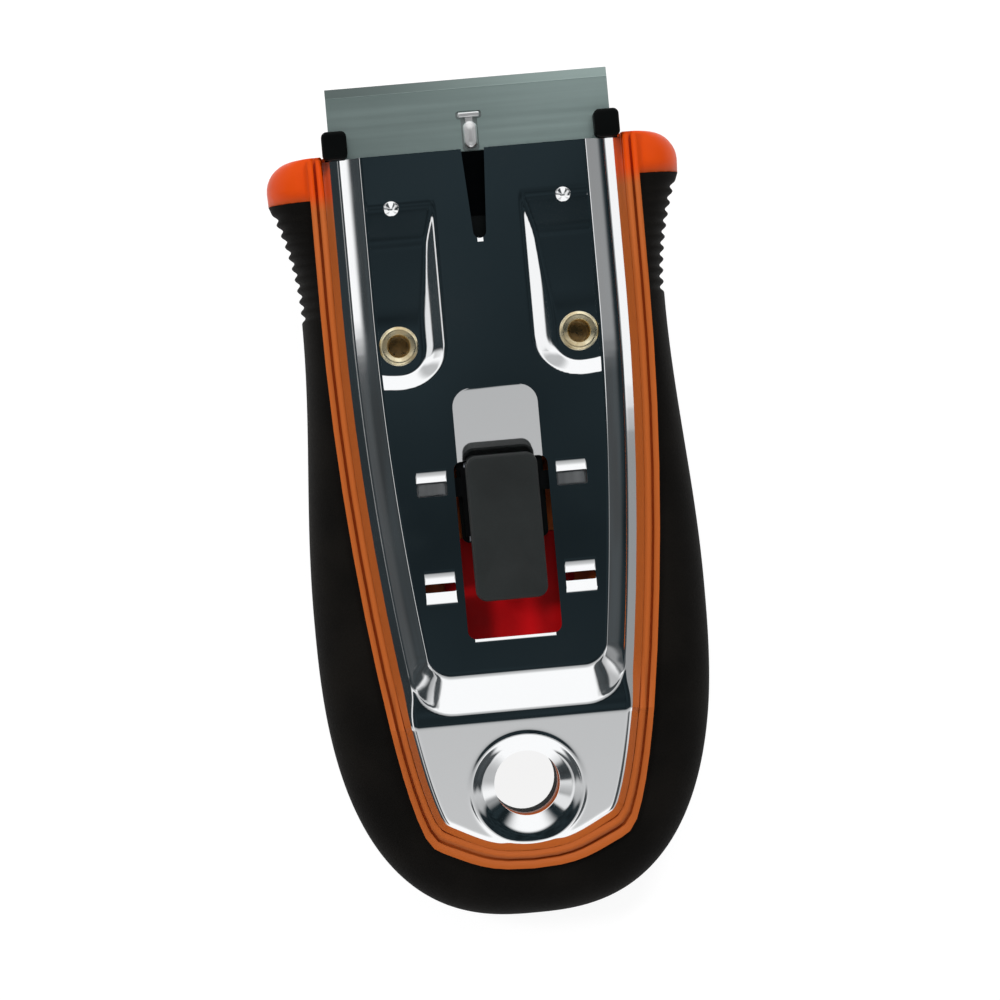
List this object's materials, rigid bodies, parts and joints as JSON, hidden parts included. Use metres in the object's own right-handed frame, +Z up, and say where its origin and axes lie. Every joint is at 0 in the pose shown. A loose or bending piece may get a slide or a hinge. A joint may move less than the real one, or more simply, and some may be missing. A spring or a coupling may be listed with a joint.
{
  "type": "safety scraper",
  "caption": "Hand scraper whose wide single-edge blade slides back into a soft-gripped handle under a riveted bright steel cover, worked by a sprung thumb button.",
  "frame": {"origin": "under the middle of the object's box, on the flat underside that it rests on", "axes": "+Y from the tail to the cutting edge, +Z up through the cover plate and thumb button, +X to the right when looking down with the blade away from the viewer"},
  "size_m": [0.0576, 0.117, 0.0251],
  "materials": {
    "orange_plastic": "smooth moulded",
    "black_rubber": "fine matt",
    "bright_plate": "bright plated",
    "brass": "satin",
    "black_plastic": "fine matt",
    "red_plastic": "smooth moulded",
    "carrier_steel": "rolled",
    "bright_steel": "turned",
    "blade_steel": "ground",
    "spring_steel": "tempered",
    "button_plastic": "fine matt"
  },
  "bodies": {
    "handle": {"handle_core": "orange_plastic", "soft_grip": "black_rubber", "cover_plate": "bright_plate", "rivet_right": "brass", "rivet_left": "brass", "guide_shoe_right": "black_plastic", "guide_shoe_left": "black_plastic", "red_flag": "red_plastic"},
    "slide": {"blade_carrier": "carrier_steel", "key_stud": "bright_steel", "blade": "blade_steel", "guide_pin_front": "bright_steel", "guide_pin_rear": "bright_steel", "lock_spring": "spring_steel"},
    "button": {"lock_bar": "carrier_steel", "thumb_button": "button_plastic"}
  },
  "joints": [
    {"name": "blade_slide", "type": "slide", "parent": "handle", "child": "slide", "axis": [0, -1, 0], "range_m": [0, 0.0135]},
    {"name": "button_press", "type": "slide", "parent": "slide", "child": "button", "axis": [0, 0, -1], "range_m": [0, 0.0008], "stiffness_N_per_m": 3000, "springref_m": -0.0003, "deforming": ["lock_spring"]}
  ]
}
